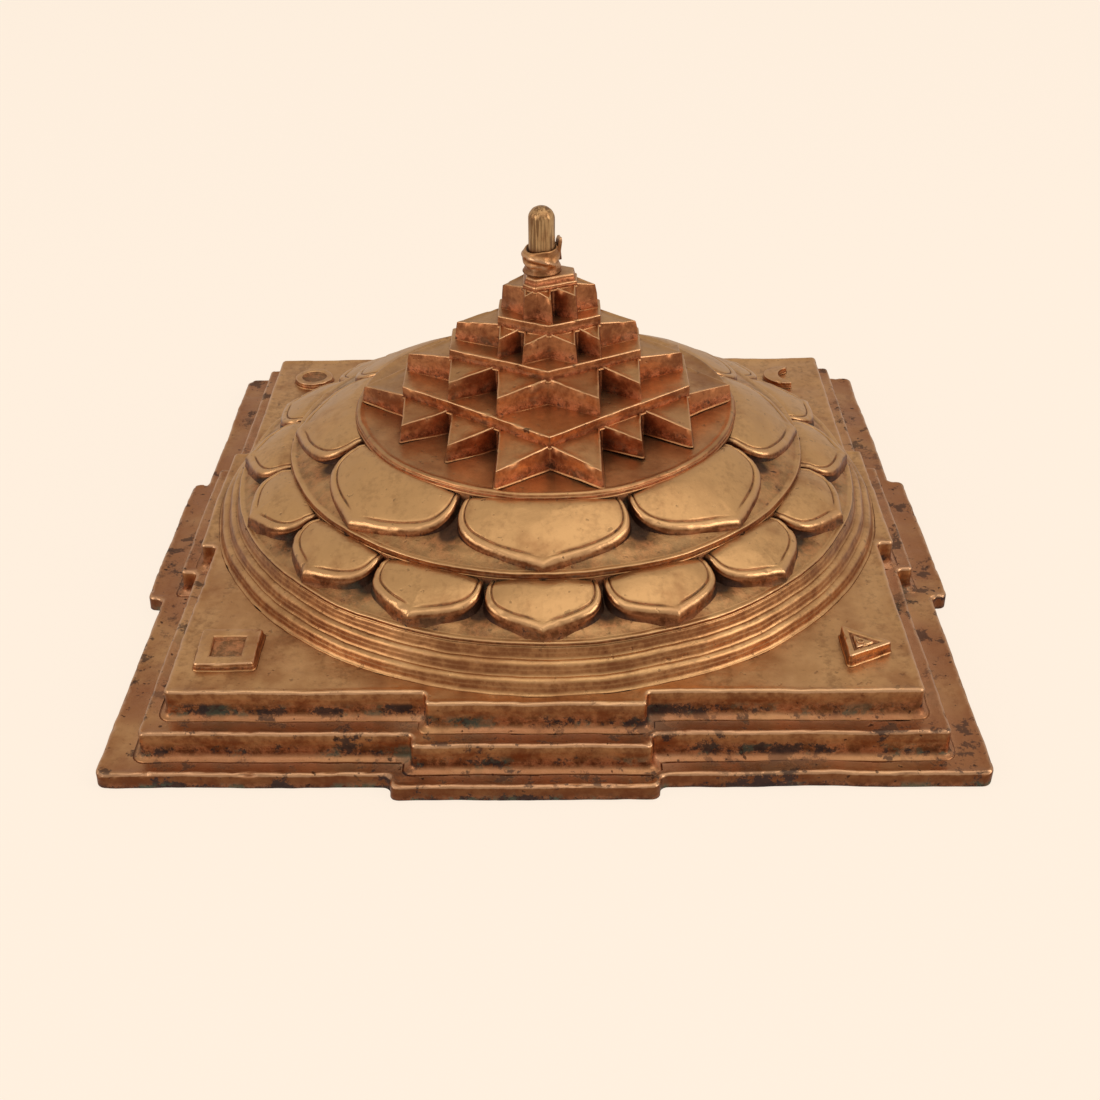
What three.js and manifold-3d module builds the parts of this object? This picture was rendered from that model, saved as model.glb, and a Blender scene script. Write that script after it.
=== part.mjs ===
// A cast shri yantra as a stepped hill: three square plates with gates, three round steps,
// a ring of sixteen petals, a ring of eight petals, and a crown of nine interlocking
// triangles cut into four star tiers, with a brass pin standing in a collar on top.
// Millimetres, +Z up. The viewer of the front stands on the -Y side.
import * as THREE from "three";
import { mergeVertices } from "three/addons/utils/BufferGeometryUtils.js";
import Module from "manifold-3d";

const wasm = await Module();
wasm.setup();

// Square plates, from the floor up
const baseWidth = 151;
const baseDepth = 149.6;
const lowerHeight = 3.2;
const middleHeight = 4.9;
const upperHeight = 5.1;
const middleLedgeSide = 6.9;
const middleLedgeFront = 4.6;
const upperLedgeSide = 4.1;
const upperLedgeFront = 4.8;
const plateEdge = 0.55;
const plateFootFlare = 0.5;

// Gates: the flat T-shaped steps in the middle of each side
const gateProjection = 3.2;
const lowerGateWidth = 45;
const middleGateWidth = 40.5;
const upperGateWidth = 37.4;
const lowerGateShift = -3.1;
const middleGateShift = -1.9;
const upperGateShift = -1.2;

// Three round steps. The outer one reaches just past the upper plate's sides into its gates.
const stepReach = 1.2;
const stepTread = 1.9;
const stepHeight = 2.2;
const stepEdge = 0.5;

// Petal rings
const sixteenTierHeight = 6.3;
const sixteenGroundLip = 0.5;
const sixteenPetalLength = 10.4;
const sixteenTipMargin = 0.4;
const sixteenTipRise = 2.3;
const eightTierHeight = 8;
const eightGroundLip = 1.1;
const eightPetalLength = 13;
const eightTipMargin = 0.3;
const eightTipRise = 1.2;
const petalThickness = 2.4;
const petalRim = 0.9;
const petalGroove = 0.35;
const petalDome = 0.3;
const petalRoot = 2.4;

// Crown: the traditional figure is 48 units across
const starFloorHeight = 1;
const figureMargin = 0.3;
const figureUnits = 48;
const tierSetback = 0.3;
const tierDraft = 0.3;
const tierEdge = 0.25;
const platformHeight = 1.3;
const platformSetback = 0.4;

// Star tiers: the height up to the notches, how far each tip falls below them, the rise of
// the middle hexagon above them, and how far the tier was set off the middle, towards +X.
const fourteenTier = { height: 4.5, tipFall: 1.3, lip: 2, shift: 0.2 };
const outerTenTier = { height: 5, tipFall: 1.3, lip: 1.7, shift: 0 };
const innerTenTier = { height: 4.7, tipFall: 1, lip: 1.7, shift: 0.2 };
const eightTriangleTier = { height: 5.6, tipFall: 0.8, lip: 0.6, shift: 0.4 };

// Pin and its collar
const pinDiameter = 5.1;
const pinLength = 12.5;
const pinX = -0.4;
const collarHeight = 4.7;
const collarFootHeight = 1.2;
const collarWaistTop = 2.4;
const collarSwellHeight = 3.8;
const collarWall = 0.65;
const collarFlare = 0.55;
const collarClearance = 0.05;
const tabHeight = 1.5;
const tabWidth = 1.6;
const tabRoot = 1.9;
const tabTurn = Math.PI / 10;

// Seals on the corners of the upper plate
const sealInsetSide = 9.2;
const sealInsetFront = 11.6;
const squareSealSize = 10.8;
const sealHeight = 1.2;
const sealRim = 2.4;
const sealRecess = 0.6;
const triangleSealRadius = 5.8;
const triangleSealHeight = 2;
const triangleSealRim = 1.3;
const triangleSealGroove = 0.5;
const crescentSealRadius = 4.6;
const crescentSealBite = 3.6;
const crescentSealShift = 2.4;
const roundSealRadius = 4.4;

const roundSegments = 80;
const sealSegments = 28;
const overlapForJoin = 0.5;
const cutMargin = 1;

const castMetal = { color: 0x96693f, roughness: 0.42, metalness: 0.9 };
const petalMetal = { color: 0xb08448, roughness: 0.36, metalness: 0.9 };
const pinMetal = { color: 0xb8935a, roughness: 0.3, metalness: 0.9 };

// Geometry helpers

// A closed body from rings of points: neighbouring rings are joined by walls, and the first
// and last ring are closed with flat caps. Rings run counterclockwise seen from above.
function loft(rings) {
  const count = rings[0].length;
  const positions = rings.flat().flatMap((point) => [point.x, point.y, point.z]);
  const index = [];
  for (let level = 0; level + 1 < rings.length; level++) {
    for (let i = 0; i < count; i++) {
      const next = (i + 1) % count;
      const a = level * count + i;
      const b = level * count + next;
      index.push(a, b, b + count, a, b + count, a + count);
    }
  }
  const last = (rings.length - 1) * count;
  for (const [a, b, c] of THREE.ShapeUtils.triangulateShape(rings[0], [])) index.push(c, b, a);
  for (const [a, b, c] of THREE.ShapeUtils.triangulateShape(rings.at(-1), [])) {
    index.push(last + a, last + b, last + c);
  }
  const geometry = new THREE.BufferGeometry();
  geometry.setAttribute("position", new THREE.Float32BufferAttribute(positions, 3));
  geometry.setIndex(index);
  return geometry;
}

// The outline moved inwards by a distance, with mitred corners. A negative distance grows it.
function inset(outline, distance) {
  return outline.map((corner, i) => {
    const before = outline.at(i - 1);
    const after = outline[(i + 1) % outline.length];
    const arriving = new THREE.Vector2().subVectors(corner, before).normalize();
    const leaving = new THREE.Vector2().subVectors(after, corner).normalize();
    const bisector = new THREE.Vector2(-arriving.y - leaving.y, arriving.x + leaving.x);
    const scale = (2 * distance) / bisector.lengthSq();
    return new THREE.Vector2(corner.x, corner.y).addScaledVector(bisector, scale);
  });
}

// A body from one outline: each step is [distance inwards, height].
function layered(outline, steps) {
  return loft(
    steps.map(([distance, z]) =>
      inset(outline, distance).map((point) => new THREE.Vector3(point.x, point.y, z)),
    ),
  );
}

// A turned body from a profile of [radius, height] pairs that starts and ends on the axis.
function turned(profile, segments = roundSegments) {
  const points = profile.map(([radius, z]) => new THREE.Vector2(radius, z));
  return new THREE.LatheGeometry(points, segments).rotateX(Math.PI / 2);
}

function toSolid(geometry) {
  const bare = new THREE.BufferGeometry();
  bare.setAttribute("position", geometry.getAttribute("position"));
  bare.setIndex(geometry.index);
  const merged = mergeVertices(bare, 1e-4);
  return new wasm.Manifold(
    new wasm.Mesh({
      numProp: 3,
      vertProperties: new Float32Array(merged.attributes.position.array),
      triVerts: new Uint32Array(merged.index.array),
    }),
  );
}

function fromSolid(solid) {
  const mesh = solid.getMesh();
  const geometry = new THREE.BufferGeometry();
  geometry.setAttribute("position", new THREE.Float32BufferAttribute(mesh.vertProperties, 3));
  geometry.setIndex([...mesh.triVerts]);
  return geometry;
}

function joined(geometries) {
  return fromSolid(geometries.map(toSolid).reduce((whole, solid) => whole.add(solid)));
}

function cut(geometry, tool) {
  return fromSolid(toSolid(geometry).subtract(toSolid(tool)));
}

const group = new THREE.Group();
group.name = "shri_yantra";

function addPiece(name, geometry, metal) {
  geometry.deleteAttribute("uv");
  const faceted = geometry.index ? geometry.toNonIndexed() : geometry;
  faceted.computeVertexNormals();
  const piece = new THREE.Mesh(faceted, new THREE.MeshStandardMaterial(metal));
  piece.name = name;
  group.add(piece);
  return piece;
}

// Square plates

// A rectangle with a gate standing out of the middle of each side. The front and back gates
// are moved sideways by gateShift, as the hand-cut wax has them.
function gatedRectangle(halfX, halfY, gateWidth, gateShift) {
  const half = gateWidth / 2;
  const outX = halfX + gateProjection;
  const outY = halfY + gateProjection;
  const corners = [
    [-halfX, -halfY],
    [gateShift - half, -halfY],
    [gateShift - half, -outY],
    [gateShift + half, -outY],
    [gateShift + half, -halfY],
    [halfX, -halfY],
    [halfX, -half],
    [outX, -half],
    [outX, half],
    [halfX, half],
    [halfX, halfY],
    [half, halfY],
    [half, outY],
    [-half, outY],
    [-half, halfY],
    [-halfX, halfY],
    [-halfX, half],
    [-outX, half],
    [-outX, -half],
    [-halfX, -half],
  ];
  return corners.map(([x, y]) => new THREE.Vector2(x, y));
}

function plate(outline, bottom, height, footFlare) {
  const top = bottom + height;
  return layered(outline, [
    [-footFlare, bottom],
    [0, bottom + plateEdge],
    [0, top - plateEdge],
    [plateEdge, top],
  ]);
}

const lowerHalf = [baseWidth / 2, baseDepth / 2];
const middleHalf = [lowerHalf[0] - middleLedgeSide, lowerHalf[1] - middleLedgeFront];
const upperHalf = [middleHalf[0] - upperLedgeSide, middleHalf[1] - upperLedgeFront];
const lowerTop = lowerHeight;
const middleTop = lowerTop + middleHeight;
const upperTop = middleTop + upperHeight;

const lowerOutline = gatedRectangle(...lowerHalf, lowerGateWidth, lowerGateShift);
const middleOutline = gatedRectangle(...middleHalf, middleGateWidth, middleGateShift);
const upperOutline = gatedRectangle(...upperHalf, upperGateWidth, upperGateShift);

addPiece("bhupura_lower_plate", plate(lowerOutline, 0, lowerHeight, -plateEdge / 2), castMetal);
addPiece("bhupura_middle_plate", plate(middleOutline, lowerTop, middleHeight, plateFootFlare), castMetal);
addPiece("bhupura_upper_plate", plate(upperOutline, middleTop, upperHeight, plateFootFlare), castMetal);

// Round steps

const outerStepRadius = Math.min(...upperHalf) + stepReach;

function roundStep(radius, bottom) {
  const top = bottom + stepHeight;
  return turned([
    [0, bottom],
    [radius, bottom],
    [radius, top - stepEdge],
    [radius - stepEdge, top],
    [0, top],
  ]);
}

const stepNames = ["girdle_step_outer", "girdle_step_middle", "girdle_step_inner"];
stepNames.forEach((name, i) => {
  addPiece(name, roundStep(outerStepRadius - i * stepTread, upperTop + i * stepHeight), castMetal);
});
const stepsTop = upperTop + stepNames.length * stepHeight;
const innerStepRadius = outerStepRadius - (stepNames.length - 1) * stepTread;
const sixteenFootRadius = innerStepRadius - stepEdge;
const eightCircleRadius = sixteenFootRadius - sixteenTipMargin - sixteenPetalLength;
const starCircleRadius = eightCircleRadius - eightTipMargin - eightPetalLength;
const figureRadius = starCircleRadius - figureMargin;

// Petal rings

// Half of a petal's outline, from its root to its tip, as shares of the half pitch angle and
// of the petal's length: a round shoulder first, then a hollow sweep out to the point.
const petalShoulder = new THREE.Vector2(0.77, 0.65);
const shoulderCurve = new THREE.CubicBezierCurve(
  new THREE.Vector2(0.95, 0),
  new THREE.Vector2(0.99, 0.25),
  new THREE.Vector2(0.97, 0.5),
  petalShoulder,
);
const tipCurve = new THREE.CubicBezierCurve(
  petalShoulder,
  new THREE.Vector2(0.52, 0.83),
  new THREE.Vector2(0.16, 0.88),
  new THREE.Vector2(0, 1),
);
const curveSteps = 4;

// A petal's outline in plan, pointing along -Y. The root starts inside the circle that the
// next tier stands on, so that the circle trims the petal.
function petalOutline(circleRadius, length, halfPitch) {
  const half = [
    new THREE.Vector2(shoulderCurve.v0.x, -petalRoot / length),
    ...shoulderCurve.getPoints(curveSteps),
    ...tipCurve.getPoints(curveSteps).slice(1),
  ];
  const place = (share, side) => {
    const radius = circleRadius + share.y * length;
    const angle = side * share.x * halfPitch;
    return new THREE.Vector2(radius * Math.sin(angle), -radius * Math.cos(angle));
  };
  const right = half.map((share) => place(share, 1));
  const left = half.slice(0, -1).reverse().map((share) => place(share, -1));
  return [...left.reverse(), ...right.reverse()];
}

// One petal as a raised tongue on sloping ground: a wall, a rim along the edge, a groove
// inside the rim and a gently domed field. The wall goes down into the ground, but no lower
// than the given floor.
function petal(outline, topAt, floor) {
  const raised = (distance, lift) =>
    inset(outline, distance).map((point) => {
      const radius = Math.hypot(point.x, point.y);
      return new THREE.Vector3(point.x, point.y, Math.max(topAt(radius) + lift, floor));
    });
  return loft([
    raised(-tierDraft, -petalThickness - overlapForJoin),
    raised(0, -stepEdge / 2),
    raised(stepEdge / 2, 0),
    raised(petalRim, 0),
    raised(petalRim + petalGroove, -petalGroove),
    raised(petalRim + 2 * petalGroove, 0),
    raised(petalRim + 6 * petalGroove, petalDome),
  ]);
}

// A tier with sloping ground and a ring of petals. The petals fall in a straight line from
// the foot of the next tier's circle to their tips.
function petalTier({ count, bottom, height, footRadius, groundLip, circleRadius, length, tipRise }) {
  const top = bottom + height;
  const tipRadius = circleRadius + length;
  const tipTop = bottom + groundLip + tipRise;
  const slope = (top - tipTop) / length;
  const topAt = (radius) => Math.min(tipTop + slope * (tipRadius - radius), top - petalDome - stepEdge / 4);
  const ground = turned([
    [0, bottom],
    [footRadius, bottom],
    [footRadius, bottom + groundLip],
    [circleRadius, top - petalThickness],
    [circleRadius, top],
    [0, top],
  ]);
  const outline = petalOutline(circleRadius, length, Math.PI / count);
  const petals = Array.from({ length: count }, (_, i) =>
    petal(outline, topAt, bottom + groundLip / 2).rotateZ((i * 2 * Math.PI) / count),
  );
  return joined([ground, ...petals]);
}

const sixteenTop = stepsTop + sixteenTierHeight;
const eightTop = sixteenTop + eightTierHeight;

addPiece(
  "sixteen_petal_tier",
  petalTier({
    count: 16,
    bottom: stepsTop,
    height: sixteenTierHeight,
    footRadius: sixteenFootRadius,
    groundLip: sixteenGroundLip,
    circleRadius: eightCircleRadius,
    length: sixteenPetalLength,
    tipRise: sixteenTipRise,
  }),
  petalMetal,
);
addPiece(
  "eight_petal_tier",
  petalTier({
    count: 8,
    bottom: sixteenTop,
    height: eightTierHeight,
    footRadius: eightCircleRadius,
    groundLip: eightGroundLip,
    circleRadius: starCircleRadius,
    length: eightPetalLength,
    tipRise: eightTipRise,
  }),
  petalMetal,
);

// Crown

// The nine base lines of the figure, in units from the top of the circle.
const line = { 1: 6, 2: 12, 3: 17, 4: 20, 5: 23, 6: 27, 7: 30, 8: 36, 9: 42 };
const unitRadius = figureUnits / 2;
const halfChord = (u) => Math.sqrt(unitRadius ** 2 - (unitRadius - u) ** 2);

// A triangle's right side as a function that gives half the triangle's width at a height u.
// It runs from the apex through a point at height u with the given half width.
const side = (apex, u, halfWidth) => (at) => (halfWidth * (at - apex)) / (u - apex);

// Down triangles are named by their base line, up triangles too. The two widest touch the
// circle, and each of the others ends on the side of one already drawn.
const down3 = side(figureUnits, line[3], halfChord(line[3]));
const up7 = side(0, line[7], halfChord(line[7]));
const down1 = side(line[6], line[2], up7(line[2]));
const down2 = side(line[9], line[3], up7(line[3]));
const up8 = side(line[1], line[7], down3(line[7]));
const up9 = side(line[3], line[8], down3(line[8]));
const down4 = side(line[8], line[4], up8(line[4]));
const up6 = side(line[2], line[6], down2(line[6]));
const down5 = side(line[7], line[5], up6(line[5]));

// Where a side that narrows downwards meets a side that widens downwards.
function crossing(narrowing, widening) {
  let low = 0;
  let high = figureUnits;
  for (let i = 0; i < 50; i++) {
    const middle = (low + high) / 2;
    if (narrowing(middle) > widening(middle)) low = middle;
    else high = middle;
  }
  return [low, widening(low)];
}

const on = (number, sideLine) => [line[number], sideLine(line[number])];

// Outlines as [u, half width] down the right-hand side, tips and notches in turn.
const fourteenStar = [
  [0, 0],
  on(1, up7),
  on(1, down1),
  on(2, up7),
  on(2, down2),
  on(3, up7),
  on(3, down3),
  crossing(down3, up7),
  on(7, up7),
  on(7, down3),
  on(8, up8),
  on(8, down3),
  on(9, up9),
  on(9, down3),
  [figureUnits, 0],
];
const outerTenStar = [
  [line[1], 0],
  on(2, up8),
  on(2, up7),
  on(3, down1),
  on(3, up7),
  crossing(down2, up8),
  on(7, down3),
  on(7, down2),
  on(8, down3),
  on(8, down2),
  [line[9], 0],
];
const innerTenStar = [
  [line[2], 0],
  on(3, up6),
  on(3, down1),
  on(4, down1),
  on(4, up8),
  crossing(down4, up6),
  on(6, down2),
  on(6, down4),
  on(7, down2),
  on(7, down4),
  [line[8], 0],
];
const eightStar = [
  [line[3], 0],
  on(4, up9),
  on(4, down1),
  on(5, up9),
  on(5, up6),
  crossing(down5, up9),
  on(6, down4),
  on(6, down5),
  [line[7], 0],
];

// The raised platforms that fill the middle of each star.
const fourteenHexagon = [on(1, up7), crossing(down3, up7), on(9, down3)];
const outerTenHexagon = [on(2, up8), crossing(down2, up8), on(8, down2)];
const innerTenHexagon = [on(3, up6), crossing(down4, up6), on(7, down4)];
const eightHexagon = [on(4, up9), crossing(down5, up9), on(6, down5)];

// The figure lies with its top towards +X and its right-hand side towards the viewer.
function inPlan(rightSide, shift) {
  const unit = (2 * figureRadius) / figureUnits;
  const place = ([u, half], mirror) =>
    new THREE.Vector2(shift + figureRadius - u * unit, -mirror * half * unit);
  const right = rightSide.map((point) => place(point, 1));
  const left = rightSide.filter(([, half]) => half > 0).map((point) => place(point, -1));
  return [...left, ...right.reverse()];
}

// A star with a raised hexagon in its middle. In the star's outline every second point is a
// tip, and each triangle's top falls from its two notches to its tip.
function starTier(star, hexagon, bottom, { height, tipFall, lip, shift }) {
  const top = bottom + height;
  const outline = inset(inPlan(star, shift), tierSetback);
  const isTip = (i) => i % 2 === 1;
  const level = (distance, z) =>
    inset(outline, distance).map(
      (point, i) => new THREE.Vector3(point.x, point.y, isTip(i) ? z - tipFall : z),
    );
  const notches = inset(outline, tierDraft + tierEdge + overlapForJoin);
  const middle = notches.map((point, i) => {
    const place = isTip(i)
      ? new THREE.Vector2().lerpVectors(notches[i - 1], notches[(i + 1) % notches.length], 0.5)
      : point;
    return new THREE.Vector3(place.x, place.y, top);
  });
  const foot = outline.map((point) => new THREE.Vector3(point.x, point.y, bottom));
  const body = loft([
    foot,
    level(tierDraft, top - tierEdge),
    level(tierDraft + tierEdge, top),
    middle,
  ]);
  const platform = layered(inset(inPlan(hexagon, shift), tierSetback), [
    [0, top - tipFall],
    [0, top + lip - tierEdge],
    [tierEdge, top + lip],
  ]);
  return joined([body, platform]);
}

const floorTop = eightTop + starFloorHeight;
addPiece(
  "star_floor_disc",
  turned([
    [0, eightTop],
    [starCircleRadius, eightTop],
    [starCircleRadius, floorTop - tierEdge],
    [starCircleRadius - tierEdge, floorTop],
    [0, floorTop],
  ]),
  castMetal,
);

const starTiers = [
  ["fourteen_triangle_tier", fourteenStar, fourteenHexagon, fourteenTier],
  ["outer_ten_triangle_tier", outerTenStar, outerTenHexagon, outerTenTier],
  ["inner_ten_triangle_tier", innerTenStar, innerTenHexagon, innerTenTier],
  ["eight_triangle_tier", eightStar, eightHexagon, eightTriangleTier],
];
let crownTop = floorTop;
for (const [name, star, hexagon, tier] of starTiers) {
  addPiece(name, starTier(star, hexagon, crownTop, tier), castMetal);
  crownTop += tier.height + tier.lip;
}

const platformTop = crownTop + platformHeight;
addPiece(
  "summit_platform",
  layered(inset(inPlan(eightHexagon, eightTriangleTier.shift), tierSetback + platformSetback), [
    [0, crownTop],
    [tierDraft, platformTop - tierEdge],
    [tierDraft + tierEdge, platformTop],
  ]),
  castMetal,
);

// Pin and collar

const pinRadius = pinDiameter / 2;
const pinSegments = 32;

function pinGeometry() {
  const domeSteps = 6;
  const dome = Array.from({ length: domeSteps + 1 }, (_, i) => {
    const angle = (i / domeSteps) * (Math.PI / 2);
    return [pinRadius * Math.cos(angle), pinLength - pinRadius + pinRadius * Math.sin(angle)];
  });
  dome[domeSteps][0] = 0;
  return turned([[0, 0], [pinRadius, 0], ...dome], pinSegments);
}

// The collar is a wrapped strip: narrow in the waist, swelling towards the top, with a
// flared foot and the strip's end standing up as a small tab.
function collarGeometry() {
  const bore = pinRadius + collarClearance;
  const wall = bore + collarWall;
  const sleeve = turned(
    [
      [0, 0],
      [wall + collarFlare / 2, 0],
      [wall - collarWall / 3, collarFootHeight],
      [wall - collarWall / 3, collarWaistTop],
      [wall + collarWall / 3, collarSwellHeight],
      [wall, collarHeight],
      [0, collarHeight],
    ],
    pinSegments,
  );
  const tabLength = tabRoot + tabHeight;
  const tab = new THREE.BoxGeometry(collarWall, tabWidth, tabLength);
  tab.translate(bore + collarWall, 0, collarHeight - tabRoot + tabLength / 2);
  tab.rotateZ(tabTurn);
  const boreTool = turned(
    [
      [0, -cutMargin],
      [bore, -cutMargin],
      [bore, collarHeight + tabHeight + cutMargin],
      [0, collarHeight + tabHeight + cutMargin],
    ],
    pinSegments,
  );
  return cut(joined([sleeve, tab]), boreTool);
}

const collar = addPiece("bindu_collar", collarGeometry(), castMetal);
collar.position.set(pinX, 0, platformTop);
const pin = addPiece("bindu_pin", pinGeometry(), pinMetal);
pin.position.set(pinX, 0, platformTop);

// Corner seals

// A raised figure with a rim round a sunk middle.
function framedSeal(outline, height, rim) {
  return layered(outline, [
    [0, 0],
    [0, height - tierEdge],
    [tierEdge, height],
    [rim, height],
    [rim, height - sealRecess],
  ]);
}

// The triangle has a smaller solid triangle standing in its sunk middle.
function triangleSeal() {
  const middleInset = triangleSealRim + triangleSealGroove;
  const middle = layered(triangleOutline, [
    [middleInset, 0],
    [middleInset, triangleSealHeight - tierEdge],
    [middleInset + tierEdge, triangleSealHeight],
  ]);
  return joined([framedSeal(triangleOutline, triangleSealHeight, triangleSealRim), middle]);
}

function regularOutline(sides, radius, turn) {
  return Array.from({ length: sides }, (_, i) => {
    const angle = turn + (i * 2 * Math.PI) / sides;
    return new THREE.Vector2(radius * Math.cos(angle), radius * Math.sin(angle));
  });
}

function crescentSeal() {
  const disc = layered(regularOutline(sealSegments, crescentSealRadius, 0), [
    [0, 0],
    [0, sealHeight - tierEdge],
    [tierEdge, sealHeight],
  ]);
  const bite = layered(regularOutline(sealSegments, crescentSealBite, 0), [
    [0, -cutMargin],
    [0, sealHeight + cutMargin],
  ]).translate(crescentSealShift, 0, 0);
  return cut(disc, bite);
}

const squareOutline = regularOutline(4, squareSealSize / Math.SQRT2, Math.PI / 4);
const triangleOutline = regularOutline(3, triangleSealRadius, 0);
const roundOutline = regularOutline(sealSegments, roundSealRadius, 0);
const sealX = upperHalf[0] - sealInsetSide;
const sealY = upperHalf[1] - sealInsetFront;

const seals = [
  ["corner_seal_square", framedSeal(squareOutline, sealHeight, sealRim), -sealX, -sealY],
  ["corner_seal_triangle", triangleSeal(), sealX, -sealY],
  ["corner_seal_round", framedSeal(roundOutline, sealHeight, triangleSealRim), -sealX, sealY],
  ["corner_seal_crescent", crescentSeal(), sealX, sealY],
];
for (const [name, geometry, x, y] of seals) {
  addPiece(name, geometry, castMetal).position.set(x, y, upperTop);
}

export default group;
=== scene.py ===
# An aged cast shri yantra on a pale table: every CAD tier is replaced by a finer cast body.
# Shapes are worked out in millimetres and turned into metres when a mesh is made.
import math

import bpy
import numpy as np
from mathutils import Matrix, Vector, noise


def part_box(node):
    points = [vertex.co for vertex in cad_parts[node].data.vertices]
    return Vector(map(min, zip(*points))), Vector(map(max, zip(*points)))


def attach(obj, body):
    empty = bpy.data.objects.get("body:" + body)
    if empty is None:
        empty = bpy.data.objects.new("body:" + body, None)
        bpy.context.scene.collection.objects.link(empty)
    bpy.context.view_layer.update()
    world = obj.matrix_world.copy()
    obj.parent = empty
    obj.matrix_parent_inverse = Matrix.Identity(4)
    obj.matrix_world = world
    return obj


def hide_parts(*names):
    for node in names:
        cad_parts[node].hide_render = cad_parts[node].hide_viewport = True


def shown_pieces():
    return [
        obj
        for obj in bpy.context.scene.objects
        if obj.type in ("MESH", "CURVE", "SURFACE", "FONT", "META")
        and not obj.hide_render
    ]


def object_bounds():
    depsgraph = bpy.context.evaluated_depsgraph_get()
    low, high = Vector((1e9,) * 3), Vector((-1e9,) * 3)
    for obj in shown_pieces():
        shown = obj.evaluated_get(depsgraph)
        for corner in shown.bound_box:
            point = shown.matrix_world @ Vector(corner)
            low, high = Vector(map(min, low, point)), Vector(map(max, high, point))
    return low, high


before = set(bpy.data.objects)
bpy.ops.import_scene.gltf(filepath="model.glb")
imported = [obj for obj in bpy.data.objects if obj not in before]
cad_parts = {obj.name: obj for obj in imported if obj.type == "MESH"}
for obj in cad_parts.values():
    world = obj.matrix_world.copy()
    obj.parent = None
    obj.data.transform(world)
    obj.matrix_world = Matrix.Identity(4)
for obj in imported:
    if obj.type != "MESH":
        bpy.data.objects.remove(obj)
cad_low, cad_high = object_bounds()

MM = 0.001

# Photograph: the camera that shows the base and the crown as the picture does
EYE_MM = (3.447, -264.961, 168.863)
YAW_DEG = -0.6085
PITCH_DEG = 32.542
ROLL_DEG = -0.525
FOCAL_PX = 1493.04
PHOTO_PX = 1100
SENSOR_MM = 36
NEAREST_M = 0.01

# Outlines: the share of an edge that a rounded corner may take up, and the least radius
CORNER_SHARE = 0.45
LEAST_RADIUS = 0.04

# Every foot starts this far under the floor that it stands on
SUNK = 0.25

# Plates: each gate's width and its shift off the middle, then the walls' feet and edges
GATE_PROJECTION = 3.2
LOWER_GATE = (45.0, -3.1)
MIDDLE_GATE = (40.5, -1.9)
UPPER_GATE = (37.4, -1.2)
PLATE_FLARE = 0.5
PLATE_RADIUS = 1.0
PLATE_FOOT = 1.15
PLATE_FOOT_REACH = 1.6
PLATE_EDGE = 0.6
PLATE_DISH = 0.22
PLATE_MIDDLE_RADIUS = 58.0
LOWEST_RADIUS = 1.7
LOWEST_FOOT = 0.25

# Round steps and petal rings
STEP_TREAD = 1.9
STEP_EDGE = 0.5
SIXTEEN_LENGTH = 10.4
SIXTEEN_MARGIN = 0.4
SIXTEEN_LIP = 0.5
SIXTEEN_TIP_RISE = 2.3
EIGHT_LENGTH = 13.0
EIGHT_MARGIN = 0.3
EIGHT_LIP = 1.1
EIGHT_TIP_RISE = 1.2
PETAL_THICKNESS = 2.4
PETAL_ROOT = 2.4
PETAL_NECK = 0.95
PETAL_SHOULDER = (0.77, 0.65)
PETAL_WIDEST = 0.4
PETAL_MIDDLE = 0.3
PETAL_DOME = 0.6
PETAL_TOP_BELOW = 0.62
TIP_INSET = 1.5
GROOVE_INSET = 0.8

# A petal from its foot over its rim and groove to its field: inset, lift, wear, grime and painted shade
PETAL_PROFILE = [
    (-0.5, -PETAL_THICKNESS - 0.8, 0.0, 1.0),
    (-0.26, -PETAL_THICKNESS - 0.1, 0.0, 1.0),
    (-0.1, -PETAL_THICKNESS + 0.4, 0.0, 1.0),
    (0.0, -1.5, 0.0, 0.85),
    (0.02, -0.9, 0.1, 0.4),
    (0.08, -0.5, 0.6, 0.0),
    (0.2, -0.24, 0.9, 0.0),
    (0.4, -0.06, 1.0, 0.0),
    (0.62, 0.0, 0.8, 0.0),
    (0.86, -0.04, 0.5, 0.0),
    (0.98, -0.14, 0.1, 0.2),
    (1.06, -0.34, 0.0, 0.7),
    (1.14, -0.36, 0.0, 0.9),
    (1.2, -0.12, 0.0, 0.5),
    (1.3, 0.02, 0.4, 0.0),
    (1.6, 0.1, 0.3, 0.0),
]

# Painted shade in the gaps between the petals, where the ground also dips: reach along the ring, place
# on the slope, length up the slope
GAP_REACH = 2.5
GAP_PLACE = 0.6
GAP_LENGTH = 0.26

# Crown: how far down the figure its nine cross lines lie, of 48 units
FIGURE_UNITS = 48
LINE = {1: 6, 2: 12, 3: 17, 4: 20, 5: 23, 6: 27, 7: 30, 8: 36, 9: 42}
FIGURE_MARGIN = 0.3
TIER_SETBACK = 0.3
TIER_DRAFT = 0.3
TIER_EDGE = 0.3
PLATFORM_SETBACK = 0.4

# Each star tier's fall to its tips, its hexagon's lip and its shift off the middle
TIERS = {
    "fourteen_triangle_tier": (1.3, 2.0, 0.2),
    "outer_ten_triangle_tier": (1.3, 1.7, 0.0),
    "inner_ten_triangle_tier": (1.0, 1.7, 0.2),
    "eight_triangle_tier": (0.8, 0.6, 0.4),
}

# Pin and collar. Each fold: height of its middle, slant, turn where it rises, thickness
PIN_DIAMETER = 5.1
PIN_X = -0.4
PIN_CLEAN_FROM = 5.2
COLLAR_HEIGHT = 4.7
COLLAR_FOLDS = ((2.3, 1.25, 2.0, 1.0), (2.6, -1.1, 2.9, 0.75))
COLLAR_CLEARANCE = 0.05
BRIM_INSET = 0.34
TAB_HALF = (0.42, 0.9)
TAB_TURN = math.pi / 10

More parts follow.
